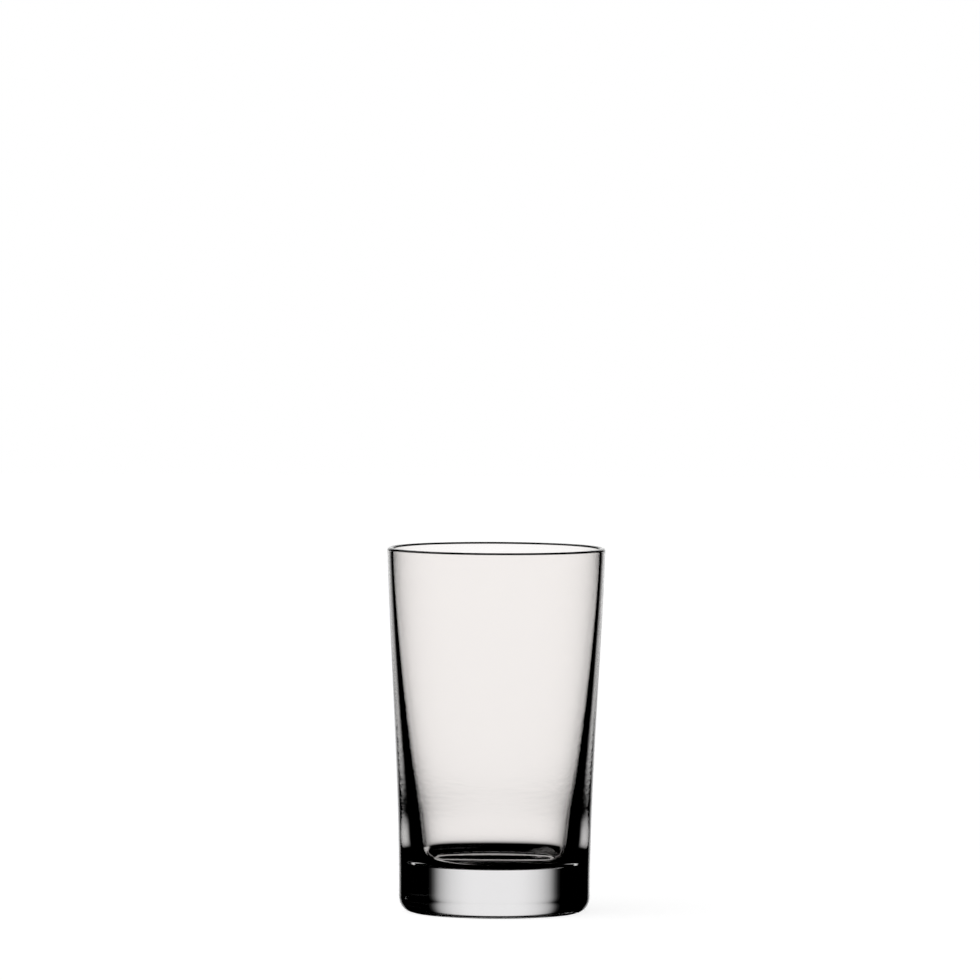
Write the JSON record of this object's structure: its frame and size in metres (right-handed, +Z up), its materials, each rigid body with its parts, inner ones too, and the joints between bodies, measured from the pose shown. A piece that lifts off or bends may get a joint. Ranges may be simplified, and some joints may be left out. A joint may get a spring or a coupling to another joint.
{
  "type": "juice glass",
  "caption": "Juice tumbler in clear glass with a nearly straight side, a heavy solid base, a rounded heel and a wall that thins to a melted rim; stands by itself.",
  "frame": {"origin": "middle of the foot at table level", "axes": "+Z up along the glass's axis, from the foot to the rim; the glass is round, so +X and +Y are free"},
  "size_m": [0.0706, 0.0706, 0.118],
  "materials": {
    "clear_glass": "clear, fire-polished, very smooth inside and out"
  },
  "bodies": {
    "root": {"tumbler": "clear_glass"}
  },
  "joints": []
}
